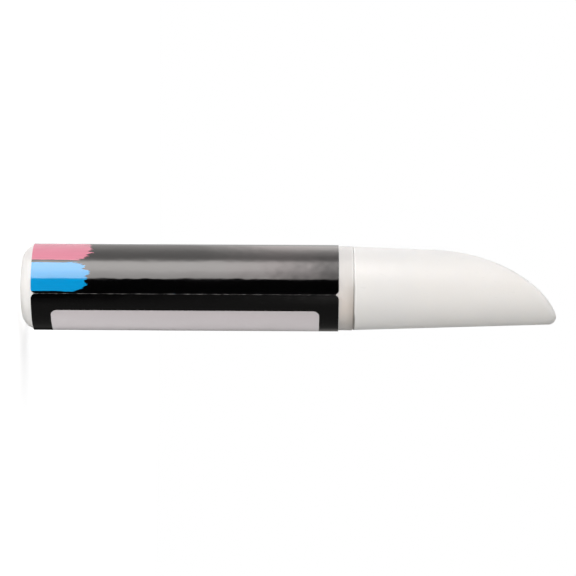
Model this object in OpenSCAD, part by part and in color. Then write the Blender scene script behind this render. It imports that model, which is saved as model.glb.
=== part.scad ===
// Touch-up paint pen with a valve-fed fibre nib, standing on its tail.
// The pen's axis is +Z, the tail stands on z = 0, and the cap's slanted cut faces -X.
// All sizes are in millimetres.

/* [Barrel] */
// Outside diameter of the barrel
barrel_d = 19.5; // [18.5:0.1:24]
// Length of the barrel from the tail to the shoulder that the cap closes on
barrel_len = 76.45; // [60:0.05:110]
// Thickness of the barrel's side wall
barrel_wall = 1.2; // [1:0.05:1.6]
// Thickness of the barrel's floor
floor_t = 1.6; // [1.2:0.1:3]
// Radius of the rounded edge round the tail
tail_r = 3.4; // [1.5:0.1:4.5]
// Radius of the small rounded edge at the shoulder
shoulder_r = 0.3; // [0.2:0.05:0.8]
// Diameter of the shallow dish in the middle of the tail
dish_d = 8.6; // [6:0.1:10]
// Depth of the dish
dish_depth = 0.35; // [0.2:0.05:0.6]
// Diameter of the moulding gate's stub in the dish
gate_d = 1.8; // [1:0.1:3]
// Height of the gate's stub
gate_h = 0.2; // [0.1:0.05:0.3]

/* [Neck] */
// Length of the neck that the cap grips
neck_len = 9.6; // [7:0.1:14]
// Thickness of the neck's wall
neck_wall = 1.25; // [1:0.05:1.6]
// Thickness of the sloping shoulder under the neck
shoulder_t = 1.3; // [1:0.1:2]
// Height of the two grip beads above the neck
bead_h = 0.12; // [0.05:0.01:0.2]
// Radius of a bead's round back
bead_r = 0.6; // [0.4:0.05:0.9]
// Height of the lower bead above the shoulder
bead_low = 2.4; // [1.5:0.1:3]
// Distance between the two beads
bead_pitch = 4.4; // [3:0.1:5]

/* [Label] */
// Thickness of the wrap-round label film
label_t = 0.26; // [0.1:0.01:0.3]
// Height of the label's lower edge above the tail
label_start = 2.67; // [2:0.01:8]
// Length of the label along the barrel
label_len = 70.4; // [40:0.1:73]
// Width of the seam between the label's two long edges
seam_gap = 0.15; // [0.05:0.01:0.5]
// Direction of the seam round the barrel, 0 towards +X, in degrees
seam_angle = -81; // [-180:1:180]
// Radius of the label's corners, where the seam ends
label_corner_r = 1.1; // [0.5:0.1:3]

/* [Cap] */
// Length of the cap's solid end, past its liner
cap_end_len = 14.5; // [12:0.1:20]
// How far the cap's rim lies inside the barrel's outside, on the radius
cap_step = 0.07; // [0:0.01:0.3]
// Thickness of the cap's wall at its mouth
cap_wall = 1.25; // [1:0.05:1.6]
// Slope of the cap's sides, in degrees
cap_taper = 1.9; // [0.5:0.05:2.5]
// Length of the slanted cut along the pen, back from the tip
cut_len = 28.4; // [26:0.1:32]
// Direction that the cut faces where it meets the tip, up from the axis, in degrees
cut_lean = 22; // [18:1:34]
// Radius of the rounded tip, seen from the side
tip_r = 1.6; // [1:0.1:2.5]
// Radius of the cut's gentle crown, across it
crown_r = 60; // [40:1:200]
// Radius of the cut's soft edges where it starts
edge_r = 0.9; // [0.5:0.05:1.5]
// Radius of the cut's soft edges at the tip
tip_edge_r = 1.6; // [1:0.1:2.5]
// Radius of the rim's rounded edge
rim_r = 0.2; // [0.1:0.05:0.4]
// Gap between the cap's rim and the barrel's shoulder
rim_gap = 0.08; // [0.04:0.01:0.4]

/* [Cap liner] */
// Thickness of the liner's wall
liner_wall = 0.9; // [0.7:0.05:1.1]
// Thickness of the liner's flange
liner_flange_t = 1; // [0.6:0.1:1.5]
// Gap between the liner's flange and the front section's flange
liner_gap = 0.5; // [0.3:0.1:1]
// Length of the liner's tapered end
liner_end_len = 5.4; // [4:0.1:6]
// Diameter of the flat at the liner's closed end
liner_end_d = 8.4; // [7:0.1:9]
// Thickness of the liner's closed end
liner_end_t = 1.2; // [1:0.1:2]
// Gap between the nib's point and the liner's closed end
nib_room = 1.6; // [1:0.1:2.5]

/* [Front section] */
// Length of the plug inside the neck and below it
plug_len = 12.5; // [11.5:0.1:16]
// Thickness of the plug's wall
plug_wall = 1.55; // [1.2:0.05:1.9]
// Thickness of the flange that sits on the neck
flange_t = 1.6; // [1:0.1:2.2]
// Diameter of the nose where the cap's liner seals on it
nose_d = 10.4; // [9.6:0.1:10.8]
// Length of the straight part of the nose
nose_straight = 6.5; // [5:0.1:8]
// Length of the tapered part of the nose
nose_taper_len = 7; // [5:0.1:8]
// Thickness of the nose's wall round the nib
nose_tip_wall = 0.95; // [0.7:0.05:1.2]
// Thickness of the web between the valve chamber and the nose
web_t = 2.5; // [2:0.1:4]

/* [Nib] */
// Diameter of the fibre nib
nib_d = 5; // [4:0.1:5.4]
// Length of the nib that shows past the nose
nib_out = 5; // [4:0.1:5.6]
// Radius of the nib's rounded point
nib_point_r = 1.1; // [0.6:0.1:1.6]
// Length of the nib's tapered point
nib_point_len = 3.4; // [2.5:0.1:3.8]
// Travel of the nib when it is pressed to let paint through
nib_travel = 1.3; // [0.8:0.1:1.5]

/* [Valve] */
// Thickness of the valve's soft seat ring
seat_t = 1; // [0.8:0.1:1.5]
// Diameter of the hole in the seat ring
seat_hole_d = 4.2; // [3.6:0.1:4.6]
// Diameter of the stem that reaches the nib
stem_d = 2.8; // [2.2:0.1:3.2]
// How far the stem's sealing head reaches from the seat's hole towards the cage's wall, as a share
head_reach = 0.5; // [0.3:0.05:0.7]
// Thickness of the sealing head
head_t = 1.2; // [0.8:0.1:1.6]
// Diameter of the stem's guide pin
pin_d = 2.2; // [1.6:0.1:2.4]
// Thickness of the cage's side wall
cage_wall = 0.9; // [0.7:0.05:1.1]
// Thickness of the cage's floor
cage_floor_t = 1.4; // [1:0.1:2]
// How far the cage's flange lies inside the plug's outside, on the radius
cage_flange_step = 0.5; // [0.2:0.1:0.8]
// Diameter of the round inlets in the cage's floor
inlet_d = 1.4; // [1:0.1:1.5]
// Number of inlets
inlet_count = 6; // [3:1:7]
// Diameter of the spring, over the wire
spring_d = 4.8; // [4.6:0.1:5]
// Diameter of the spring's wire
wire_d = 0.45; // [0.3:0.05:0.55]
// Number of the spring's working turns
spring_turns = 5; // [3:1:7]

/* [Mixing ball] */
// Diameter of the steel mixing ball
ball_d = 6; // [4:0.1:8]

/* [Fits] */
// Gap on the radius between pieces that slide in each other
slide_gap = 0.05; // [0.02:0.01:0.1]
// Gap on the radius between pieces that are pressed together
press_gap = 0.02; // [0.01:0.01:0.05]
// Gap between faces that rest on each other across a joint
seat_gap = 0.03; // [0.02:0.01:0.1]

/* [Hidden] */
$fn = 96;
// Overlap of a cutting shape past the face that it cuts
eps = 0.5;

// Radii that follow from the barrel, outwards and inwards
barrel_r = barrel_d / 2;
cap_r = barrel_r - cap_step;
socket_r = cap_r - cap_wall;
neck_r = socket_r - slide_gap - bead_h;
neck_bore_r = neck_r - neck_wall;
tank_r = barrel_r - barrel_wall;
plug_r = neck_bore_r - press_gap;
chamber_r = plug_r - plug_wall;
cage_r = chamber_r - press_gap;
cage_bore_r = cage_r - cage_wall;
label_r = barrel_r + press_gap + label_t;
nib_bore_r = nib_d / 2 + slide_gap;
nose_r = nose_d / 2;
nose_tip_r = nib_bore_r + nose_tip_wall;
liner_mouth_r = nose_r + slide_gap;
liner_r = liner_mouth_r + liner_wall;

// Levels up the pen
neck_top = barrel_len + neck_len;
flange_top = neck_top + flange_t;
nose_taper_z = flange_top + nose_straight;
nose_top = nose_taper_z + nose_taper_len;
nib_top = nose_top + nib_out;
plug_bottom = neck_top - plug_len;
cage_bottom = plug_bottom - cage_floor_t;
chamber_top = neck_top - web_t;
seat_bottom = chamber_top - press_gap - seat_t;
head_top = seat_bottom - seat_gap;
head_bottom = head_top - head_t;
head_r = seat_hole_d / 2 + head_reach * (cage_bore_r - seat_hole_d / 2);
cage_top = seat_bottom - press_gap;
nib_bottom = chamber_top + nib_travel + 0.3;
cap_mouth = barrel_len + rim_gap;
liner_flange_z = flange_top + liner_gap;
socket_top = liner_flange_z + liner_flange_t;
liner_top = nib_top + nib_room + liner_end_t;
liner_taper_z = liner_top - liner_end_len;
cap_len = liner_top - cap_mouth + cap_end_len;
cut_start = cap_len - cut_len;

// Quarter of a disc, on the outer side of a revolved outline: the upper or the lower one
module outer_quarter(radius, upper) {
  intersection() {
    circle(r = radius);
    translate([0, upper ? 0 : -radius]) square(radius);
  }
}

// Half of a bar with a rounded lower edge, to be revolved
module round_footed(radius, bottom, top, foot_r) {
  translate([0, bottom]) square([radius - foot_r, foot_r]);
  translate([radius - foot_r, bottom + foot_r]) outer_quarter(foot_r, false);
  translate([0, bottom + foot_r]) square([radius, top - bottom - foot_r]);
}

// Half of a bar with a rounded upper edge, to be revolved
module round_topped(radius, bottom, top, edge) {
  translate([0, bottom]) square([radius, top - bottom - edge]);
  translate([radius - edge, top - edge]) outer_quarter(edge, true);
  translate([0, top - edge]) square([radius - edge, edge]);
}

// Shallow ring round the neck, which the cap's socket grips
module grip_bead(height) {
  translate([neck_r + bead_h - bead_r, height]) circle(r = bead_r);
}

// Blow-moulded tube with a rounded tail and a neck
module barrel() {
  bead_z = barrel_len + bead_low;
  tank_top = barrel_len - shoulder_t;
  color("white") difference() {
    rotate_extrude() {
      round_footed(barrel_r, 0, barrel_len / 2, tail_r);
      round_topped(barrel_r, barrel_len / 2, barrel_len, shoulder_r);
      translate([0, barrel_len - eps]) square([neck_r, neck_len + eps]);
      intersection() {
        union() {
          grip_bead(bead_z);
          grip_bead(bead_z + bead_pitch);
        }
        translate([neck_r - bead_r, barrel_len]) square([2 * bead_r, neck_len]);
      }
    }
    rotate_extrude() tank_outline(tank_top);
    difference() {
      translate([0, 0, -eps]) cylinder(d = dish_d, h = dish_depth + eps);
      translate([0, 0, dish_depth - gate_h]) cylinder(d = gate_d, h = gate_h + eps);
    }
  }
}

// Half of the hollow inside the barrel: the tank, its sloping top and the neck's bore
module tank_outline(tank_top) {
  slope_z = tank_top - (tank_r - neck_bore_r);
  round_footed(tank_r, floor_t, slope_z, max(0.5, tail_r - barrel_wall));
  polygon([[0, slope_z], [tank_r, slope_z], [neck_bore_r, tank_top],
           [neck_bore_r, neck_top + eps], [0, neck_top + eps]]);
}

// Wrap-round film with a lengthwise seam and rounded corners
module label() {
  color([0.05, 0.05, 0.06]) translate([0, 0, label_start]) difference() {
    cylinder(r = label_r, h = label_len);
    translate([0, 0, -eps]) cylinder(r = label_r - label_t, h = label_len + 2 * eps);
    rotate([0, 0, seam_angle]) translate([barrel_r - eps, 0, 0]) rotate([90, 0, 90])
      linear_extrude(height = label_t + 2 * eps) seam_outline();
  }
}

// Outline of the seam: a slot that flares at both ends, where the film's corners are rounded
module seam_outline() {
  steps = 4;
  arc = [for (i = [0 : steps]) let (a = i * 90 / steps)
    [seam_gap / 2 + label_corner_r * (1 - cos(a)), label_corner_r * (1 - sin(a))]];
  // The arc's last piece runs on past the film's end
  side = concat([for (i = [0 : steps - 1]) arc[i]], [2 * arc[steps] - arc[steps - 1]]);
  right = concat([for (i = [steps : -1 : 0]) side[i]], [for (p = side) [p[0], label_len - p[1]]]);
  polygon(concat(right, [for (i = [len(right) - 1 : -1 : 0]) [-right[i][0], right[i][1]]]));
}

// Loose ball that stirs the paint, resting on the tank's floor
module mixing_ball() {
  color("silver") translate([0, 0, floor_t + seat_gap + ball_d / 2]) sphere(d = ball_d);
}

// Cup that holds the spring and guides the stem, pressed into the plug from below
module valve_cage() {
  inlet_ring_r = (spring_d / 2 + cage_bore_r) / 2;
  color("gainsboro") difference() {
    union() {
      translate([0, 0, cage_bottom]) cylinder(r = plug_r - cage_flange_step, h = cage_floor_t - press_gap);
      translate([0, 0, cage_bottom]) cylinder(r = cage_r, h = cage_top - cage_bottom);
    }
    translate([0, 0, cage_bottom + cage_floor_t]) cylinder(r = cage_bore_r, h = cage_top - cage_bottom);
    translate([0, 0, cage_bottom - eps]) cylinder(r = pin_d / 2 + slide_gap, h = cage_floor_t + 2 * eps);
    for (i = [0 : inlet_count - 1]) rotate([0, 0, i * 360 / inlet_count])
      translate([inlet_ring_r, 0, cage_bottom - eps]) cylinder(d = inlet_d, h = cage_floor_t + 2 * eps);
  }
}

// Points of the spring's wire: a closed turn at each end and open turns between
function spring_height(turn, span, closed_pitch) =
  turn < 1 ? turn * closed_pitch
  : turn > spring_turns + 1 ? span - (spring_turns + 2 - turn) * closed_pitch
  : closed_pitch + (turn - 1) / spring_turns * (span - 2 * closed_pitch);

// Compression spring that holds the stem's head against the seat
module valve_spring() {
  steps = 16;
  sides = 8;
  coil_r = (spring_d - wire_d) / 2;
  bottom = cage_bottom + cage_floor_t + seat_gap + wire_d / 2;
  span = head_bottom - seat_gap - wire_d / 2 - bottom;
  last = (spring_turns + 2) * steps;
  points = [for (i = [0 : last], k = [0 : sides - 1])
    let (turn = i / steps, around = k * 360 / sides,
         out = coil_r + cos(around) * wire_d / 2,
         up = bottom + spring_height(turn, span, wire_d * 1.1) + sin(around) * wire_d / 2)
    [out * cos(turn * 360), out * sin(turn * 360), up]];
  color("lightsteelblue") polyhedron(points = points, faces = tube_faces(last + 1, sides), convexity = 8);
}

// Faces of a tube of rings, each with the same number of points, closed at both ends
function tube_faces(rings, sides) = concat(
  [[for (k = [0 : sides - 1]) k]],
  [for (i = [0 : rings - 2], k = [0 : sides - 1])
    let (a = i * sides + k, b = i * sides + (k + 1) % sides) [b, a, a + sides]],
  [for (i = [0 : rings - 2], k = [0 : sides - 1])
    let (a = i * sides + k, b = i * sides + (k + 1) % sides) [b, a + sides, b + sides]],
  [[for (k = [sides - 1 : -1 : 0]) (rings - 1) * sides + k]]);

// Stem that the nib pushes: guide pin, sealing head and push rod in one
module valve_stem() {
  pin_bottom = cage_bottom + seat_gap;
  chamfer = 0.3;
  color("whitesmoke") rotate_extrude() polygon([
    [0, pin_bottom], [pin_d / 2 - chamfer, pin_bottom], [pin_d / 2, pin_bottom + chamfer],
    [pin_d / 2, head_bottom], [head_r, head_bottom], [head_r, head_top], [stem_d / 2, head_top],
    [stem_d / 2, nib_bottom - chamfer], [stem_d / 2 - chamfer, nib_bottom], [0, nib_bottom]]);
}

// Soft ring that the stem's head seals on
module valve_seat() {
  color("dimgray") translate([0, 0, seat_bottom]) difference() {
    cylinder(r = cage_r, h = seat_t);
    translate([0, 0, -eps]) cylinder(d = seat_hole_d, h = seat_t + 2 * eps);
  }
}

// Plug, flange and nose in one moulding: it closes the neck and carries the nib and the valve
module front_section() {
  edge = 0.4;
  color("white") difference() {
    rotate_extrude() {
      translate([0, plug_bottom]) square([plug_r, plug_len]);
      round_topped(neck_r - slide_gap, neck_top, flange_top, edge);
      polygon([[0, flange_top - eps], [nose_r, flange_top - eps], [nose_r, nose_taper_z],
               [nose_tip_r, nose_top - edge], [nose_tip_r - edge, nose_top], [0, nose_top]]);
    }
    translate([0, 0, plug_bottom - eps]) cylinder(r = chamber_r, h = chamber_top - plug_bottom + eps);
    translate([0, 0, plug_bottom]) cylinder(r = nib_bore_r, h = nose_top - plug_bottom + eps);
  }
}

// Fibre rod with a tapered, rounded point; the taper runs smoothly into the round
module nib() {
  chamfer = 0.4;
  nib_r = nib_d / 2;
  centre = nib_top - nib_point_r;
  reach = nib_point_len - nib_point_r;
  // Direction from the round's centre to the ring where the taper meets it
  meet = acos(nib_point_r / norm([nib_r, reach])) - atan2(reach, nib_r);
  color("ivory") rotate_extrude() {
    polygon([[0, nib_bottom], [nib_r - chamfer, nib_bottom], [nib_r, nib_bottom + chamfer],
             [nib_r, nib_top - nib_point_len],
             [nib_point_r * cos(meet), centre + nib_point_r * sin(meet)], [0, centre]]);
    translate([0, centre]) outer_quarter(nib_point_r, true);
  }
}

// Inner cup of the cap, which seals on the nose and keeps the nib wet
module cap_liner() {
  seal_top = nose_taper_z + 0.6;
  inner_top = liner_top - liner_end_t;
  inner_end_r = liner_end_d / 2 - liner_wall;
  inner_r = nose_tip_r + 0.8;
  color("gainsboro") rotate_extrude() difference() {
    polygon([[0, liner_flange_z], [socket_r - press_gap, liner_flange_z],
             [socket_r - press_gap, socket_top - press_gap], [liner_r, socket_top - press_gap],
             [liner_r, liner_taper_z], [liner_end_d / 2, liner_top], [0, liner_top]]);
    polygon([[0, liner_flange_z - eps], [liner_mouth_r, liner_flange_z - eps], [liner_mouth_r, seal_top],
             [inner_r, nose_top], [inner_r, liner_taper_z], [inner_end_r, inner_top], [0, inner_top]]);
  }
}

// The cap's side view, measured from its mouth: the straight sides slope by cap_taper
tip_z = cap_len - tip_r;
tip_drop = side_r(tip_z) - tip_r / cos(cap_taper);
// Place on the tip's arc where the cut runs into it
join_z = tip_z + tip_r * cos(cut_lean);
join_drop = side_r(join_z) + tip_drop - tip_r * sin(cut_lean);
// The cut is a quarter of an ellipse that leaves the side at cut_start and meets the tip's arc smoothly
cut_flat = 1 / ((1 / tan(cut_lean) - tan(cap_taper)) * (join_z - cut_start) / join_drop - 1);
cut_deep = join_drop / (1 - cut_flat);
cut_long = (join_z - cut_start) / sqrt(1 - cut_flat * cut_flat);

// Radius of the cap's straight side
function side_r(z) = cap_r - z * tan(cap_taper);

// Amount by which the rim's rounded edge draws the mouth in
function rim_inset(z) = z < rim_r ? rim_r - sqrt(rim_r * rim_r - (rim_r - z) * (rim_r - z)) : 0;

// Half height of the tip's arc
function tip_half(z) = sqrt(max(0, tip_r * tip_r - (z - tip_z) * (z - tip_z)));

// Radius of the round side, which follows the tip's arc at the end
function round_r(z) = z > tip_z + tip_r * sin(cap_taper) ? tip_drop + tip_half(z) : side_r(z) - rim_inset(z);

// Height of the cut above the axis
function cut_top(z) =
  z <= cut_start ? round_r(z)
  : z < join_z ? side_r(z) - cut_deep * (1 - sqrt(1 - pow((z - cut_start) / cut_long, 2)))
  : -tip_drop + tip_half(z);

// Radius of the soft edge, which grows towards the tip and keeps to a share of the section's height
function soft_r(z) =
  let (way = max(0, z - cut_start) / cut_len, height_share = 0.3)
  min(edge_r + (tip_edge_r - edge_r) * way * way, height_share * (round_r(z) + cut_top(z)));

// Centre of the arc that rounds the edge between the cut and the round side, as [sideways, height]
function edge_centre(side, top, edge) =
  let (crown = top - crown_r, near = side - edge, far = crown_r - edge,
       height = min(near, (crown * crown + near * near - far * far) / (2 * crown)))
  [sqrt(max(0, near * near - height * height)), height];

// Point of a section whose surface faces angle a, counted from straight up
function section_point(a, side, top, edge) =
  let (c = edge_centre(side, top, edge), crown = top - crown_r)
  a < atan2(c[0], c[1] - crown) ? [crown_r * sin(a), crown + crown_r * cos(a)]
  : a < atan2(c[0], c[1]) ? [c[0] + edge * sin(a), c[1] + edge * cos(a)]
  : [side * sin(a), side * cos(a)];

// One ring of the cap's outside: half the angles go up one side, the rest come back on the other
function cap_ring(z) =
  let (side = round_r(z), top = cut_top(z), edge = soft_r(z), half = half_angles())
  concat(
    [for (a = half) let (p = section_point(a, side, top, edge)) [-p[1], -p[0], z]],
    [for (i = [len(half) - 2 : -1 : 1])
      let (p = section_point(half[i], side, top, edge)) [-p[1], p[0], z]]);

// Surface angles from the middle of the cut down to the far side, closer together on the cut
function half_angles() =
  let (crown_end = 8, crown_step = 2, side_steps = 28)
  concat([for (a = [0 : crown_step : crown_end]) a],
         [for (i = [1 : side_steps]) crown_end + i * (180 - crown_end) / side_steps]);

// Levels of the rings: round the rim, along the cut and round the tip
function cap_levels() =
  let (rim_steps = 3, cut_steps = 22, tip_step = 10,
       cut_angle = asin((tip_z - cut_start) / cut_long))
  concat([for (i = [0 : rim_steps]) rim_r * (1 - cos(i * 90 / rim_steps))],
         [for (i = [0 : cut_steps - 1]) cut_start + cut_long * sin(i * cut_angle / cut_steps)],
         [for (a = [0 : tip_step : 80]) tip_z + tip_r * sin(a)]);

// Solid outside form of the cap: a tapered round bar with a curved slanting cut
module cap_form() {
  levels = cap_levels();
  rings = [for (z = levels) cap_ring(z)];
  count = len(rings[0]);
  last = len(levels) - 1;
  tip = count * (last + 1);
  points = concat([for (ring = rings) each ring], [[tip_drop, 0, cap_len]]);
  sides = [for (j = [0 : last - 1], i = [0 : count - 1])
    let (a = j * count + i, b = j * count + (i + 1) % count) each [[a, a + count, b + count], [a, b + count, b]]];
  point_fan = [for (i = [0 : count - 1]) [last * count + i, tip, last * count + (i + 1) % count]];
  mouth = [[for (i = [0 : count - 1]) i]];
  polyhedron(points = points, faces = concat(mouth, sides, point_fan), convexity = 4);
}

// Outer cap with its socket for the neck and its seat for the liner
module cap_shell() {
  mouth_chamfer = 0.25;
  color("white") difference() {
    translate([0, 0, cap_mouth]) cap_form();
    translate([0, 0, cap_mouth - eps]) cylinder(r = socket_r, h = socket_top - cap_mouth + eps);
    rotate_extrude() polygon([
      [0, cap_mouth - eps], [socket_r + mouth_chamfer, cap_mouth - eps],
      [socket_r + mouth_chamfer, cap_mouth], [socket_r, cap_mouth + mouth_chamfer], [0, cap_mouth + mouth_chamfer]]);
    rotate_extrude() polygon([
      [0, socket_top - eps], [liner_r + press_gap, socket_top - eps], [liner_r + press_gap, liner_taper_z],
      [liner_end_d / 2 + press_gap, liner_top + press_gap], [0, liner_top + press_gap]]);
  }
}

barrel();
label();
mixing_ball();
valve_cage();
valve_spring();
valve_stem();
valve_seat();
front_section();
nib();
cap_liner();
cap_shell();
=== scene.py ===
"""Looks, studio and camera of a touch-up paint pen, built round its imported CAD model.

The pen stands on its tail. Its axis is +Z, and the slanted cut of its cap faces -X.
The camera looks along +Y and is turned on its side, so the pen lies across the picture
and its +X side is the low one.
"""

import math

import bpy
from mathutils import Matrix, Vector


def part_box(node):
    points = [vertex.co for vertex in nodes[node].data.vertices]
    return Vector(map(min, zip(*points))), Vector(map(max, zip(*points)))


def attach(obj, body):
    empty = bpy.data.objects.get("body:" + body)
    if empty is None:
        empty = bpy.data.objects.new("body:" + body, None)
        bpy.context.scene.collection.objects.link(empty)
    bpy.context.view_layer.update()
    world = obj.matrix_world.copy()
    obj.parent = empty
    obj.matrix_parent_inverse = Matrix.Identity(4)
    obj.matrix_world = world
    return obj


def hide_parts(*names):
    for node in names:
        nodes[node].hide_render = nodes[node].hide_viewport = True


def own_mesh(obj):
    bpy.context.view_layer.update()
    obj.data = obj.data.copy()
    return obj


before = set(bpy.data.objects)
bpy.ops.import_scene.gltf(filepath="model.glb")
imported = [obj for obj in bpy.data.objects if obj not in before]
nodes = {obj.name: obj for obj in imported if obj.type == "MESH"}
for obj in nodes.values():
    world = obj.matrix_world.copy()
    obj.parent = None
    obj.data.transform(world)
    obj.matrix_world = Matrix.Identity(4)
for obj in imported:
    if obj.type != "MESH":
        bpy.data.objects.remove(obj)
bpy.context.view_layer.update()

MM = 0.001


def span(node, axis=2):
    """Lowest and highest point of a CAD node along an axis, in millimetres."""
    return tuple(round(corner[axis] / MM, 3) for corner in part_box(node))


# Sizes that the prints and the spring are set out from, in millimetres
LABEL_BOTTOM, LABEL_TOP = span("label")
LABEL_MIDDLE = (LABEL_BOTTOM + LABEL_TOP) / 2
LABEL_HALF = (LABEL_TOP - LABEL_BOTTOM) / 2
LABEL_RADIUS = span("label", axis=1)[1]
LABEL_CORNER = 1.1
SEAM_GAP = 0.15
CAP_MOUTH = span("cap_shell")[0]
CAP_GAP = 0.08
BARREL_TOP = CAP_MOUTH - CAP_GAP
SPRING_BOTTOM, SPRING_TOP = span("valve_spring")
SPRING_OUTER = 2 * span("valve_spring", axis=0)[1]
SPRING_WIRE = 0.45
SPRING_TURNS = 5
# Directions round the pen are in degrees from the one that faces the camera, positive towards -X
SEAM_FACING = -9.0
# The photograph's centre, as a height on the pen's axis in millimetres
PHOTO_CENTRE = 61.42

WHITE_PLASTIC = (0.825, 0.815, 0.798)
# Colour of the painted highlight on the rims at the cap's part line
RIM_HIGHLIGHT = (0.95, 0.94, 0.93)
PINK_PAINT = (0.74, 0.22, 0.32)
BLUE_PAINT = (0.002, 0.32, 0.70)
PLASTIC_IOR = 1.49
FILM_IOR = 1.56
# Edges of the CAD solids that turn by more than this stay sharp, in degrees
SHARP_ANGLE = 35.0


# Node trees

def add(tree, kind, inputs=None, **settings):
    """Adds a node, sets its properties, and fills or joins its inputs by name or number."""
    node = tree.nodes.new(kind)
    for name, value in settings.items():
        setattr(node, name, value)
    for socket, value in (inputs or {}).items():
        join(tree, value, node.inputs[socket])
    return node


def join(tree, value, socket):
    """Links an output to a socket, or writes a plain value on it."""
    if isinstance(value, bpy.types.NodeSocket):
        tree.links.new(value, socket)
    elif isinstance(value, tuple) and socket.type == "RGBA":
        socket.default_value = (*value, 1)
    else:
        socket.default_value = value


def maths(tree, operation, *values):
    return add(tree, "ShaderNodeMath", dict(enumerate(values)), operation=operation).outputs[0]


def product(tree, first, *others):
    """Several masks or numbers multiplied together."""
    for other in others:
        first = maths(tree, "MULTIPLY", first, other)
    return first


def mix_colours(tree, factor, first, second, blend="MIX"):
    return add(tree, "ShaderNodeMix", {0: factor, 6: first, 7: second},
               data_type="RGBA", blend_type=blend).outputs[2]


def remap(tree, value, from_low, from_high, to_low=0.0, to_high=1.0, smooth=False):
    """Carries one range over to another and stops at its ends."""
    return add(tree, "ShaderNodeMapRange",
               {0: value, 1: from_low, 2: from_high, 3: to_low, 4: to_high},
               interpolation_type="SMOOTHSTEP" if smooth else "LINEAR").outputs[0]


def noise(tree, vector, scale, detail=2.0, roughness=0.5):
    return add(tree, "ShaderNodeTexNoise", {"Vector": vector, "Scale": scale, "Detail": detail,
                                            "Roughness": roughness}).outputs["Fac"]


def drawn_noise(tree, vector, scales, detail, roughness=0.5):
    """Noise that is drawn out in the directions with the smaller scales."""
    stretched = add(tree, "ShaderNodeVectorMath", {0: vector, 1: scales}, operation="MULTIPLY")
    return noise(tree, stretched.outputs[0], 1.0, detail, roughness)


def scaled(tree, vector, factor):
    """A vector or colour with all its parts multiplied by one number."""
    return add(tree, "ShaderNodeVectorMath", {0: vector, "Scale": factor},
               operation="SCALE").outputs[0]


def length(tree, vector):
    return add(tree, "ShaderNodeVectorMath", {0: vector}, operation="LENGTH").outputs["Value"]


def distance_towards(tree, point, direction):
    """How far a point lies in a direction."""
    return add(tree, "ShaderNodeVectorMath", {0: point, 1: direction},
               operation="DOT_PRODUCT").outputs["Value"]


def split(tree, vector):
    """The three parts of a vector."""
    return add(tree, "ShaderNodeSeparateXYZ", {0: vector}).outputs


def flat_vector(tree, first, second):
    """A vector from two numbers, with nothing as its third part."""
    return add(tree, "ShaderNodeCombineXYZ", {0: first, 1: second}).outputs[0]


def object_point(tree):
    return tree.nodes.new("ShaderNodeTexCoord").outputs["Object"]


def millimetre_point(tree):
    """The surface point in the pen's own frame, in millimetres."""
    return scaled(tree, object_point(tree), 1 / MM)


def new_group(name, inputs, outputs):
    """A shader node group. Inputs are {name: default}, outputs are {name: kind of socket}."""
    group = bpy.data.node_groups.new(name, "ShaderNodeTree")
    for socket, default in inputs.items():
        coloured = isinstance(default, tuple)
        kind = "NodeSocketColor" if coloured else "NodeSocketFloat"
        made = group.interface.new_socket(socket, in_out="INPUT", socket_type=kind)
        made.default_value = (*default, 1) if coloured else default
    for socket, kind in outputs.items():
        group.interface.new_socket(socket, in_out="OUTPUT", socket_type=kind)
    return (group, group.nodes.new("NodeGroupInput").outputs,
            group.nodes.new("NodeGroupOutput").inputs)


def use(tree, group, **inputs):
    """Places a group in a tree. A space in a socket's name is written as _."""
    node = tree.nodes.new("ShaderNodeGroup")
    node.node_tree = group
    for name, value in inputs.items():
        join(tree, value, node.inputs[name.replace("_", " ")])
    return node.outputs


# Shared effects

def facing(angle):
    """Unit vector of a direction round the pen."""
    a = math.radians(angle)
    return (-math.sin(a), -math.cos(a), 0.0)


def make_wrap_group():
    """Position on the barrel as a flat sheet that is cut along the label's seam, in millimetres."""
    group, given, out = new_group("wrapped_sheet", {"Radius": LABEL_RADIUS},
                                  {"Around": "NodeSocketFloat", "Along": "NodeSocketFloat"})
    point = millimetre_point(group)
    ahead = distance_towards(group, point, facing(SEAM_FACING + 180))
    aside = distance_towards(group, point, facing(SEAM_FACING + 270))
    angle = maths(group, "ARCTAN2", aside, ahead)
    join(group, product(group, angle, given["Radius"]), out["Around"])
    join(group, split(group, point)[2], out["Along"])
    return group


def sheet_place(angle):
    """Place on the wrapped sheet of a direction round the pen, in millimetres."""
    turned = (angle - SEAM_FACING) % 360 - 180
    return math.radians(turned) * LABEL_RADIUS


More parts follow.
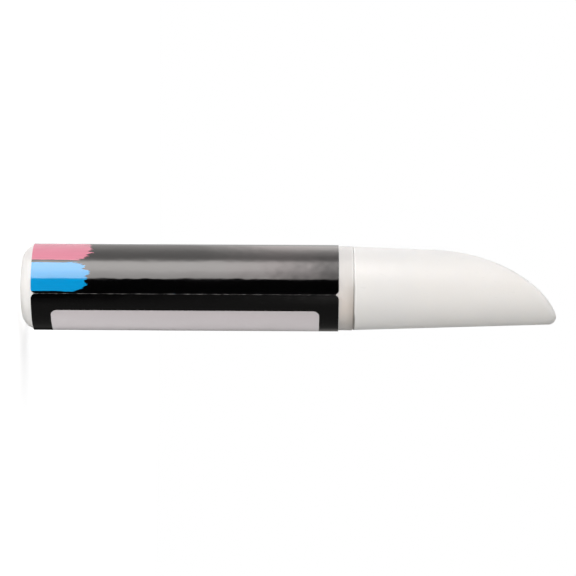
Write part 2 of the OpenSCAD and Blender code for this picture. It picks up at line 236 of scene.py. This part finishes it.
def make_print_group():
    """Mask of a printed shape: a rectangle with round corners, whose edge wavers where brushed."""
    group, given, out = new_group("printed_shape", {
        "Around": 0.0, "Along": 0.0, "Middle Around": 0.0, "Middle Along": 0.0, "Half Width": 1.0,
        "Half Length": 1.0, "Corner": 0.5, "Waver": 0.0, "Edge": 0.03}, {"Mask": "NodeSocketFloat"})
    sides = []
    for axis, half in (("Around", "Half Width"), ("Along", "Half Length")):
        off = maths(group, "ABSOLUTE",
                    maths(group, "SUBTRACT", given[axis], given["Middle " + axis]))
        inner = maths(group, "SUBTRACT", given[half], given["Corner"])
        sides.append(maths(group, "MAXIMUM", maths(group, "SUBTRACT", off, inner), 0.0))
    distance = maths(group, "SUBTRACT", length(group, flat_vector(group, *sides)), given["Corner"])
    # Bristle marks, deepest at the end where the brush lifts off
    bristles = drawn_noise(group, flat_vector(group, given["Around"], given["Along"]),
                           (2.6, 0.16, 1.0), 4.0, 0.6)
    end = maths(group, "ADD", given["Middle Along"], given["Half Length"])
    dry = remap(group, maths(group, "SUBTRACT", end, given["Along"]), 0.0, 6.0, 5.0, 0.5)
    reach = product(group, dry, given["Waver"])
    push = product(group, maths(group, "SUBTRACT", bristles, 0.5), reach)
    distance = maths(group, "ADD", distance, push)
    low = product(group, given["Edge"], -1.0)
    join(group, remap(group, distance, low, given["Edge"], 1.0, 0.0), out["Mask"])
    return group


def make_moulding_group():
    """Moulded plastic: faint clouds of colour, a soft uneven gloss and a fine skin."""
    group, given, out = new_group(
        "moulded_skin",
        {"Colour": (0.8, 0.8, 0.8), "Cloud": 0.03, "Cloud Size": 6.0, "Gloss": 0.4,
         "Gloss Change": 0.08, "Skin Size": 0.25},
        {"Colour": "NodeSocketColor", "Roughness": "NodeSocketFloat", "Height": "NodeSocketFloat"})
    point = millimetre_point(group)
    clouds = noise(group, point, maths(group, "DIVIDE", 1.0, given["Cloud Size"]), 3.0)
    shade = maths(group, "MULTIPLY_ADD", maths(group, "SUBTRACT", clouds, 0.5), given["Cloud"], 1.0)
    join(group, scaled(group, given["Colour"], shade), out["Colour"])
    polish = drawn_noise(group, point, (0.5, 0.5, 0.12), 4.0)
    gloss = maths(group, "MULTIPLY_ADD", maths(group, "SUBTRACT", polish, 0.5),
                  given["Gloss Change"], given["Gloss"])
    join(group, gloss, out["Roughness"])
    join(group, noise(group, point, maths(group, "DIVIDE", 1.0, given["Skin Size"])), out["Height"])
    return group


def make_scuff_group():
    """Fine handling scuffs: a mask of short hairlines in a few crossing directions."""
    group, given, out = new_group("handling_scuffs", {"Amount": 0.5, "Length": 6.0},
                                  {"Mask": "NodeSocketFloat"})
    point = millimetre_point(group)
    hairlines = None
    for axis, turn, spread in (("X_AXIS", 0.3, 2.2), ("X_AXIS", 1.2, 2.8), ("Y_AXIS", 2.3, 3.4)):
        turned = add(group, "ShaderNodeVectorRotate", {"Vector": point, "Angle": turn},
                     rotation_type=axis).outputs[0]
        line = remap(group, drawn_noise(group, turned, (spread, spread, 0.06), 1.0), 0.69, 0.74)
        hairlines = line if hairlines is None else maths(group, "MAXIMUM", hairlines, line)
    worn = noise(group, point, maths(group, "DIVIDE", 1.0, given["Length"]), 1.0)
    join(group, product(group, hairlines, remap(group, worn, 0.45, 0.6), given["Amount"]),
         out["Mask"])
    return group


def make_rim_highlight_group():
    """Mask of a painted highlight: a thin pale rim at a part line. It leaves out the low side, which
    lies in shade.
    """
    group, given, out = new_group(
        "rim_highlight", {"Along": 0.0, "Across": 0.0, "Start": 0.0, "End": 1.0},
        {"Mask": "NodeSocketFloat"})
    beside_line = remap(group, given["Along"], given["Start"], given["End"])
    high_side = remap(group, given["Across"], -2.5, 0.5, 1.0, 0.0)
    join(group, product(group, beside_line, high_side), out["Mask"])
    return group


def make_polish_group():
    """Mask of fine polish marks on steel. Drawn stretches them along the pen's axis."""
    group, given, out = new_group("polish_marks", {"Fineness": 4.0, "Drawn": 1.0},
                                  {"Mask": "NodeSocketFloat"})
    fine = given["Fineness"]
    lengthwise = maths(group, "DIVIDE", fine, given["Drawn"])
    scales = add(group, "ShaderNodeCombineXYZ", {0: fine, 1: fine, 2: lengthwise}).outputs[0]
    join(group, drawn_noise(group, millimetre_point(group), scales, 3.0), out["Mask"])
    return group


wrapped_sheet = make_wrap_group()
printed_shape = make_print_group()
moulded_skin = make_moulding_group()
handling_scuffs = make_scuff_group()
rim_highlight = make_rim_highlight_group()
polish_marks = make_polish_group()


# Materials

def new_material(name):
    """A new material. Returns it with its tree and its surface shader."""
    material = bpy.data.materials.new(name)
    material.use_nodes = True
    return material, material.node_tree, material.node_tree.nodes["Principled BSDF"]


def bump(tree, height, strength, distance):
    """Normal of a fine relief. Its depth is in millimetres."""
    return add(tree, "ShaderNodeBump", {"Height": height, "Strength": strength,
                                        "Distance": distance * MM}).outputs[0]


def darker(colour, share):
    return tuple(share * part for part in colour)


def plastic(name, colour, gloss, cloud=0.03, glow=0.0, tint=None):
    """Moulded plastic with scuffs. glow lets light in, and tint changes the colour by place."""
    material, tree, shader = new_material(name)
    body = use(tree, moulded_skin, Colour=colour, Cloud=cloud, Gloss=gloss)
    marks = use(tree, handling_scuffs, Amount=0.4)["Mask"]
    base = tint(tree, body["Colour"]) if tint else body["Colour"]
    join(tree, mix_colours(tree, marks, base, darker(colour, 0.9)), shader.inputs["Base Color"])
    join(tree, maths(tree, "ADD", body["Roughness"], product(tree, marks, 0.25)),
         shader.inputs["Roughness"])
    join(tree, bump(tree, body["Height"], 0.06, 0.02), shader.inputs["Normal"])
    shader.inputs["IOR"].default_value = PLASTIC_IOR
    shader.inputs["Subsurface Weight"].default_value = glow
    shader.inputs["Subsurface Radius"].default_value = (1.0, 0.92, 0.82)
    shader.inputs["Subsurface Scale"].default_value = 2.5 * MM
    return material


def cap_tint(tree, colour):
    """Painted highlight as a thin pale rim round the mouth, and painted shade of the gap along its
    low side.
    """
    across, _, along = split(tree, millimetre_point(tree))
    rim = use(tree, rim_highlight, Along=along, Across=across,
              Start=CAP_MOUTH + 0.4, End=CAP_MOUTH + 0.1)["Mask"]
    tinted = mix_colours(tree, rim, colour, RIM_HIGHLIGHT)
    # Painted highlight: a paler band at the mouth's edge on the front and low side
    low_rim_highlight = product(tree, remap(tree, along, CAP_MOUTH + 0.56, CAP_MOUTH + 0.46),
                     remap(tree, across, -3.0, -1.0), remap(tree, across, 7.0, 6.0))
    tinted = mix_colours(tree, low_rim_highlight, tinted, (0.91, 0.90, 0.885))
    # Painted shade: darker at the mouth's edge by the gap, none on the high side and most on the low
    # side
    gap_shade = maths(tree, "ADD", remap(tree, across, -2.0, 0.0, 0.0, 0.4),
                 remap(tree, across, 5.5, 7.0, 0.0, 0.6))
    gap_shade = product(tree, gap_shade, remap(tree, along, CAP_MOUTH + 0.34, CAP_MOUTH + 0.22))
    return mix_colours(tree, gap_shade, tinted, (0.38, 0.365, 0.35))


def barrel_tint(tree, colour):
    """Greyer towards the shoulder, with painted shade darkest on the low side, a painted highlight
    on the rim, painted shade by the cap's gap, and a dark seam with painted highlights.
    """
    sheet = use(tree, wrapped_sheet)
    around, along = sheet["Around"], sheet["Along"]
    across = split(tree, millimetre_point(tree))[0]
    # Painted shade: the collar's grey gets darker from the high side to the low side
    collar_shading = mix_colours(tree, remap(tree, across, -3.0, 4.0),
                          (0.70, 0.685, 0.67), (0.735, 0.68, 0.635))
    collar_shading = mix_colours(tree, remap(tree, across, 5.5, 9.5), collar_shading, (0.58, 0.56, 0.54))
    # Painted highlight: a pale rim at the shoulder's edge on the high side
    rim = use(tree, rim_highlight, Along=along, Across=across,
              Start=BARREL_TOP - 0.4, End=BARREL_TOP - 0.1)["Mask"]
    # The neck above the shoulder has no rim
    rim = product(tree, rim, maths(tree, "LESS_THAN", along, BARREL_TOP + 0.05))
    collar_shading = mix_colours(tree, rim, collar_shading, RIM_HIGHLIGHT)
    # Painted shade: darker towards the cap's gap, growing from the high side to the low side
    gap_shade = product(tree, remap(tree, along, BARREL_TOP - 1.7, BARREL_TOP - 0.1),
                   remap(tree, across, -3.0, 4.0))
    collar_shading = mix_colours(tree, gap_shade, collar_shading, (0.78, 0.765, 0.75), "MULTIPLY")
    shoulder = remap(tree, along, LABEL_TOP - 6, BARREL_TOP - 2, smooth=True)
    greyed = mix_colours(tree, shoulder, colour, collar_shading)

    # In the seam the barrel is coloured dark, with pale patches that are painted highlights where
    # the film's edges catch light, fewer towards the cap
    from_seam = maths(tree, "SUBTRACT", math.pi * LABEL_RADIUS, maths(tree, "ABSOLUTE", around))
    seam_strip = use(tree, printed_shape, Around=from_seam, Along=along, Half_Width=0.4,
               Middle_Along=LABEL_MIDDLE, Half_Length=LABEL_HALF - 0.6 * LABEL_CORNER,
               Corner=0.3)["Mask"]
    patches = noise(tree, flat_vector(tree, 0.0, along), 0.45, 4.0, 0.65)
    seam_glints = product(tree, remap(tree, patches, 0.45, 0.68), remap(tree, along, 46.0, 60.0, 1.0, 0.45))
    seam_colour = mix_colours(tree, seam_glints, (0.06, 0.06, 0.062), (0.72, 0.70, 0.68))
    return mix_colours(tree, seam_strip, greyed, seam_colour)


def label_film():
    """Printed glossy film: black, with a pale panel and four brushed colour strokes."""
    material, tree, shader = new_material("label_film")
    sheet = use(tree, wrapped_sheet)
    around, along = sheet["Around"], sheet["Along"]
    point = millimetre_point(tree)

    def printed(low_angle, high_angle, bottom, top, corner, waver=0.0):
        low, high = sheet_place(low_angle), sheet_place(high_angle)
        return use(tree, printed_shape, Around=around, Along=along,
                   Middle_Around=(low + high) / 2, Half_Width=(high - low) / 2,
                   Middle_Along=(bottom + top) / 2, Half_Length=(top - bottom) / 2,
                   Corner=corner, Waver=waver)["Mask"]

    grain = noise(tree, point, 9.0, 1.0)
    ink = mix_colours(tree, grain, (0.0004, 0.0004, 0.0005), (0.0014, 0.0014, 0.0016))

    # The pale panel. Painted light: its colour grows lighter round the side, where less light falls
    near_edge = -32.2
    panel = printed(-150.0, near_edge, bottom=7.15, top=68.58, corner=1.4)
    side_painted_light = remap(tree, around, sheet_place(-65.0), sheet_place(near_edge), 1.0, 0.0)
    lilac = mix_colours(tree, side_painted_light, (0.58, 0.542, 0.56), (0.84, 0.795, 0.82))
    speckles = remap(tree, grain, 0.3, 0.7, 0.98, 1.02)
    ink = mix_colours(tree, panel, ink, scaled(tree, lilac, speckles))

    # The strokes run in from the tail. Each has its two directions, its top and its paint
    strokes = ((38.0, 84.0, 16.0, PINK_PAINT), (-5.5, 33.5, 15.5, BLUE_PAINT),
               (90.0, 126.0, 19.5, BLUE_PAINT), (132.0, 160.0, 11.0, PINK_PAINT))
    streaks = drawn_noise(tree, flat_vector(tree, around, along), (2.4, 0.10, 1.0), 4.0)
    for low, high, top, paint in strokes:
        stroke = printed(low, high, bottom=-6.0, top=top, corner=3.0, waver=0.9)
        ink = mix_colours(tree, stroke, ink, mix_colours(tree, streaks, darker(paint, 0.86), paint))

    # The bare edge of the film shows at its ends
    bare_ends = 0.04
    inked = use(tree, printed_shape, Around=around, Along=along, Middle_Along=LABEL_MIDDLE,
                Half_Width=math.pi * LABEL_RADIUS - SEAM_GAP / 2 + 0.05,
                Half_Length=LABEL_HALF - bare_ends, Corner=LABEL_CORNER)["Mask"]
    join(tree, mix_colours(tree, inked, (0.72, 0.73, 0.74), ink), shader.inputs["Base Color"])

    marks = use(tree, handling_scuffs, Amount=0.5)["Mask"]
    sheen = remap(tree, drawn_noise(tree, point, (0.3, 0.3, 0.1), 3.0), 0.3, 0.7, 0.07, 0.13)
    join(tree, maths(tree, "ADD", sheen, product(tree, marks, 0.12)), shader.inputs["Roughness"])

    ripple = drawn_noise(tree, point, (0.22, 0.22, 0.13), 2.0)
    fine = drawn_noise(tree, point, (1.4, 1.4, 0.7), 2.0)
    # The film lies less smoothly beside the seam, towards the cap
    loose = product(tree, remap(tree, around, sheet_place(-10.0), sheet_place(-13.0)),
                    remap(tree, around, sheet_place(-27.0), sheet_place(-21.0)),
                    remap(tree, along, 44.0, 56.0))
    creases = product(tree, drawn_noise(tree, point, (0.9, 0.9, 0.35), 3.0), loose)
    height = maths(tree, "ADD", maths(tree, "MULTIPLY_ADD", fine, 0.03, ripple),
                   product(tree, creases, 0.3))
    join(tree, bump(tree, height, 1.0, 0.09), shader.inputs["Normal"])
    shader.inputs["IOR"].default_value = FILM_IOR
    return material


def fibre():
    """Pressed fibre of the nib: strands along the pen, a little open at the point."""
    material, tree, shader = new_material("nib_fibre")
    point = millimetre_point(tree)
    strands = drawn_noise(tree, point, (9.0, 9.0, 0.5), 3.0)
    colour = mix_colours(tree, strands, (0.62, 0.58, 0.48), (0.80, 0.77, 0.68))
    cloud = product(tree, noise(tree, point, 0.6), 0.3)
    join(tree, mix_colours(tree, cloud, colour, (0.66, 0.60, 0.50)), shader.inputs["Base Color"])
    join(tree, remap(tree, strands, 0.3, 0.7, 0.95, 0.8), shader.inputs["Roughness"])
    join(tree, bump(tree, strands, 0.7, 0.08), shader.inputs["Normal"])
    return material


def steel(name, finest, drawn=1.0):
    """Bright steel. finest is its roughness where it is polished most."""
    material, tree, shader = new_material(name)
    marks = use(tree, polish_marks, Drawn=drawn)["Mask"]
    join(tree, mix_colours(tree, marks, (0.50, 0.50, 0.50), (0.66, 0.65, 0.63)),
         shader.inputs["Base Color"])
    join(tree, remap(tree, marks, 0.3, 0.7, finest, finest + 0.12), shader.inputs["Roughness"])
    join(tree, bump(tree, marks, 0.2, 0.01), shader.inputs["Normal"])
    shader.inputs["Metallic"].default_value = 1.0
    return material


def rubber():
    """Soft dark sealing ring with a dusty skin."""
    material, tree, shader = new_material("seat_rubber")
    body = use(tree, moulded_skin, Colour=(0.035, 0.035, 0.037), Cloud=0.5, Gloss=0.7,
               Cloud_Size=1.5)
    join(tree, body["Colour"], shader.inputs["Base Color"])
    join(tree, body["Roughness"], shader.inputs["Roughness"])
    join(tree, bump(tree, body["Height"], 0.5, 0.03), shader.inputs["Normal"])
    return material


valve_plastic = plastic("valve_plastic", (0.74, 0.74, 0.72), 0.42, cloud=0.05, glow=0.3)
finishes = {
    "barrel": plastic("barrel_plastic", WHITE_PLASTIC, 0.36, glow=0.25, tint=barrel_tint),
    "label": label_film(),
    "cap_shell": plastic("cap_plastic", WHITE_PLASTIC, 0.40, glow=0.25, tint=cap_tint),
    "cap_liner": plastic("liner_plastic", (0.72, 0.73, 0.72), 0.45, cloud=0.06, glow=0.4),
    "front_section": plastic("front_plastic", (0.80, 0.79, 0.77), 0.33, glow=0.2),
    "nib": fibre(),
    "mixing_ball": steel("ball_steel", finest=0.12),
    "valve_cage": valve_plastic,
    "valve_stem": valve_plastic,
    "valve_seat": rubber(),
}
spring_steel = steel("spring_steel", finest=0.22, drawn=6.0)


def finish_node(name, material):
    """Gives a CAD node its material, and smooth shading that keeps its real edges."""
    node = nodes[name]
    node.data.materials.clear()
    node.data.materials.append(material)
    if "custom_normal" in node.data.attributes:
        node.data.attributes.remove(node.data.attributes["custom_normal"])
    node.data.shade_smooth()
    weld = node.modifiers.new("weld", "WELD")
    weld.merge_threshold = 1e-6
    edges = node.modifiers.new("edges", "EDGE_SPLIT")
    edges.split_angle = math.radians(SHARP_ANGLE)
    edges.use_edge_sharp = False


for name, material in finishes.items():
    finish_node(name, material)


def new_object(name, vertices, faces, material):
    """A mesh object from plain lists, placed in the scene."""
    mesh = bpy.data.meshes.new(name)
    mesh.from_pydata(vertices, [], faces)
    mesh.materials.append(material)
    made = bpy.data.objects.new(name, mesh)
    bpy.context.scene.collection.objects.link(made)
    return made


# The valve spring

def spring_coil():
    """The valve's spring with a closed turn at each end, in round wire."""
    wire_radius = SPRING_WIRE / 2
    bottom, top = SPRING_BOTTOM + wire_radius, SPRING_TOP - wire_radius
    coil_radius = SPRING_OUTER / 2 - wire_radius
    end_rise = 1.1 * SPRING_WIRE
    open_rise = (top - bottom - 2 * end_rise) / SPRING_TURNS
    steps, sides = 40, 12
    turns = SPRING_TURNS + 2
    rings = turns * steps + 1
    vertices, faces = [], []
    for i in range(rings):
        turn = i / steps
        if turn < 1:
            height = bottom + turn * end_rise
        elif turn > turns - 1:
            height = top - (turns - turn) * end_rise
        else:
            height = bottom + end_rise + (turn - 1) * open_rise
        spin = turn * math.tau
        for k in range(sides):
            around = k / sides * math.tau
            out = coil_radius + math.cos(around) * wire_radius
            vertices.append((out * math.cos(spin) * MM, out * math.sin(spin) * MM,
                             (height + math.sin(around) * wire_radius) * MM))
    for i in range(rings - 1):
        for k in range(sides):
            a, b = i * sides + k, i * sides + (k + 1) % sides
            faces.append((a, a + sides, b + sides, b))
    # The wire's two ends
    faces.append(tuple(range(sides)))
    faces.append(tuple((rings - 1) * sides + k for k in reversed(range(sides))))
    made = new_object("spring_coil", vertices, faces, spring_steel)
    made.data.shade_smooth()
    return made


coil = spring_coil()
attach(coil, "pen_body")
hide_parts("valve_spring")
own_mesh(coil)


# Studio

def seen(tree):
    """1 for rays that show a surface to the camera, straight, mirrored or through a clear piece."""
    rays = tree.nodes.new("ShaderNodeLightPath").outputs
    return maths(tree, "MAXIMUM", rays["Is Camera Ray"],
                 maths(tree, "MAXIMUM", rays["Is Glossy Ray"], rays["Is Transmission Ray"]))


def studio_world(fill):
    """White to the camera and in reflections; an even, dimmer light on surfaces."""
    world = bpy.data.worlds.new("studio")
    world.use_nodes = True
    bpy.context.scene.world = world
    tree = world.node_tree
    light = tree.nodes["Background"]
    light.inputs["Color"].default_value = (1, 1, 1, 1)
    join(tree, remap(tree, seen(tree), 0.0, 1.0, fill, 1.0), light.inputs["Strength"])


def studio_floor(radius, shine, near_glow, far_glow):
    """Pale floor disc that just reaches white before the camera where no shadow falls."""
    material, tree, shader = new_material("floor_paper")
    shader.inputs["Roughness"].default_value = 0.9
    shader.inputs["Specular IOR Level"].default_value = 0.0
    shown = seen(tree)
    away = length(tree, object_point(tree))
    # Farther off the camera sees an even white, without the lamps' pools of light
    far = remap(tree, away, 0.10, 0.60)
    join(tree, mix_colours(tree, product(tree, shown, far), (0.8, 0.8, 0.8), (0.0, 0.0, 0.0)),
         shader.inputs["Base Color"])
    shade = remap(tree, far, 0.0, 1.0, shine, 1.0)
    bounce = remap(tree, away, 0.02, 0.10, near_glow, far_glow, smooth=True)
    shader.inputs["Emission Color"].default_value = (1, 1, 1, 1)
    join(tree, remap(tree, shown, 0.0, 1.0, bounce, shade), shader.inputs["Emission Strength"])
    corners = 96
    rim = [(radius * math.cos(i * math.tau / corners), radius * math.sin(i * math.tau / corners), 0)
           for i in range(corners)]
    floor = new_object("floor", rim, [tuple(range(corners))], material)
    floor.visible_glossy = False


def in_studio(angle, distance, height):
    """A place in the studio: a direction round the pen, a distance and a height, in metres."""
    x, y, _ = facing(angle)
    return Vector((x * distance, y * distance, height))


def curved_panel(name, directions, distance, heights, columns, material):
    """A panel that stands round the pen between two directions and two heights."""
    start, end = directions
    vertices = []
    for i in range(columns + 1):
        angle = start + (end - start) * i / columns
        vertices += [in_studio(angle, distance, height) for height in heights]
    faces = [(2 * i, 2 * i + 1, 2 * i + 3, 2 * i + 2) for i in range(columns)]
    panel = new_object(name, vertices, faces, material)
    panel.visible_camera = False
    return panel


def softbox_light(strength, sampled=True):
    """Glow of the light panels. One that isn't sampled is there for reflections alone."""
    material = bpy.data.materials.new("softbox_light")
    material.cycles.emission_sampling = "AUTO" if sampled else "NONE"
    material.use_nodes = True
    tree = material.node_tree
    tree.nodes.clear()
    x, y, height = split(tree, object_point(tree))
    angle = product(tree, maths(tree, "ARCTAN2", product(tree, x, -1.0), product(tree, y, -1.0)),
                    180 / math.pi)
    # Directions round the pen, and how bright the panel is there
    levels = ((0, 0.55), (23, 0.66), (38, 0.80), (50, 0.98), (62, 0.98), (74, 0.50), (86, 0.20),
              (100, 0.18), (125, 0.18), (150, 0.12), (180, 0.10))
    ramp = add(tree, "ShaderNodeFloatCurve", {1: remap(tree, angle, 0.0, 180.0)})
    curve = ramp.mapping.curves[0]
    for end in (0, -1):
        at, level = levels[end]
        curve.points[end].location = (at / 180, level)
    for at, level in levels[1:-1]:
        curve.points.new(at / 180, level)
    ramp.mapping.update()
    # In front the light fades towards the cap, and behind the pen it grows
    later = remap(tree, angle, 38.0, 62.0, 0.0, 0.007)
    fade = remap(tree, maths(tree, "SUBTRACT", height, later), 0.045, 0.085, 1.0, 0.35, smooth=True)
    rise = remap(tree, height, 0.020, 0.065, 1.0, 2.0, smooth=True)
    behind = remap(tree, angle, 70.0, 125.0)
    along = maths(tree, "ADD", product(tree, fade, maths(tree, "SUBTRACT", 1.0, behind)),
                  product(tree, rise, behind))
    # Below the floor it shows only in the gloss of a pen seen from above, where it fades
    low = remap(tree, height, -0.25, -0.05, 0.15, 1.0, smooth=True)
    power = product(tree, ramp.outputs[0], product(tree, along, low), strength)
    rosy = product(tree, remap(tree, height, 0.030, 0.055, smooth=True),
                   remap(tree, height, 0.060, 0.085, 1.0, 0.0, smooth=True))
    colour = mix_colours(tree, rosy, (1.0, 0.962, 0.940), (1.0, 0.92, 0.905))
    glow = add(tree, "ShaderNodeEmission", {"Color": colour, "Strength": power})
    out = tree.nodes.new("ShaderNodeOutputMaterial")
    join(tree, glow.outputs[0], out.inputs["Surface"])
    return material


def dark_card():
    """Matt black card, with a faint glow on the pen's low side that grows towards the cap."""
    material, tree, shader = new_material("dark_card")
    shader.inputs["Base Color"].default_value = (0.003, 0.003, 0.003, 1)
    shader.inputs["Roughness"].default_value = 1.0
    shader.inputs["Specular IOR Level"].default_value = 0.0
    across, _, height = split(tree, object_point(tree))
    along = maths(tree, "ADD", remap(tree, height, -0.030, 0.060, 0.0, 0.16),
                  remap(tree, height, 0.060, 0.085, 0.0, 0.22, smooth=True))
    past = remap(tree, across, 0.12, 0.16)
    side = remap(tree, across, 0.20, 0.40, smooth=True)
    shader.inputs["Emission Color"].default_value = (1, 0.97, 0.93, 1)
    join(tree, mix_colours(tree, side, product(tree, along, past), (0.13, 0.13, 0.13)),
         shader.inputs["Emission Strength"])
    return material


def area_light(name, place, side, power, colour=(1.0, 1.0, 1.0)):
    """Soft square lamp that lights surfaces but isn't mirrored in the gloss."""
    data = bpy.data.lights.new(name, "AREA")
    data.shape = "RECTANGLE"
    data.size = data.size_y = side
    data.energy = power
    data.color = colour
    lamp = bpy.data.objects.new(name, data)
    bpy.context.scene.collection.objects.link(lamp)
    lamp.location = place
    aim = Vector((0, 0, PHOTO_CENTRE * MM)) - lamp.location
    lamp.rotation_euler = aim.to_track_quat("-Z", "Y").to_euler()
    lamp.visible_camera = False
    lamp.visible_glossy = False


studio_world(fill=0.03)
studio_floor(radius=1.5, shine=0.61, near_glow=0.32, far_glow=0.08)
key_directions = (23.0, 150.0)
key_distance = 0.45
key_bottom = -0.050
key_strength = 8.0
curved_panel("key_panel", key_directions, key_distance, (key_bottom, 0.105), 48,
             softbox_light(key_strength))
curved_panel("lower_panel", key_directions, key_distance, (-1.0, key_bottom), 48,
             softbox_light(key_strength, sampled=False))
card = curved_panel("dark_card", (22.5, -178.0), 0.50, (-1.0, 1.0), 60, dark_card())
card.visible_diffuse = False
card.visible_shadow = False
area_light("front_fill", in_studio(-19.0, 0.9, 0.10), side=0.5, power=6.35,
           colour=(1.0, 0.98, 0.955))
area_light("top_light", in_studio(112.0, 0.9, 0.10), side=0.5, power=2.85,
           colour=(0.85, 1.0, 1.12))
area_light("overhead", in_studio(75.0, 0.22, 1.0), side=0.3, power=3.1)
area_light("back_fill", in_studio(-176.0, 0.9, 0.25), side=0.5, power=4.6)


# Camera

def photo_camera(distance, focal, roll):
    """The photograph's view. The picture's right is the pen's +Z, and its up is -X."""
    lens = bpy.data.cameras.new("photo_camera")
    lens.sensor_width = 36.0
    lens.lens = focal
    lens.clip_start, lens.clip_end = 0.01, 20.0
    camera = bpy.data.objects.new("photo_camera", lens)
    bpy.context.scene.collection.objects.link(camera)
    a = math.radians(roll)
    right = Vector((-math.sin(a), 0.0, math.cos(a)))
    up = Vector((-math.cos(a), 0.0, -math.sin(a)))
    turned = Matrix((right, up, right.cross(up))).transposed().to_4x4()
    turned.translation = Vector((0.0, -distance, PHOTO_CENTRE * MM))
    camera.matrix_world = turned
    bpy.context.scene.camera = camera


photo_camera(distance=0.575, focal=154.9, roll=0.31)
bpy.context.scene.view_settings.view_transform = "Standard"
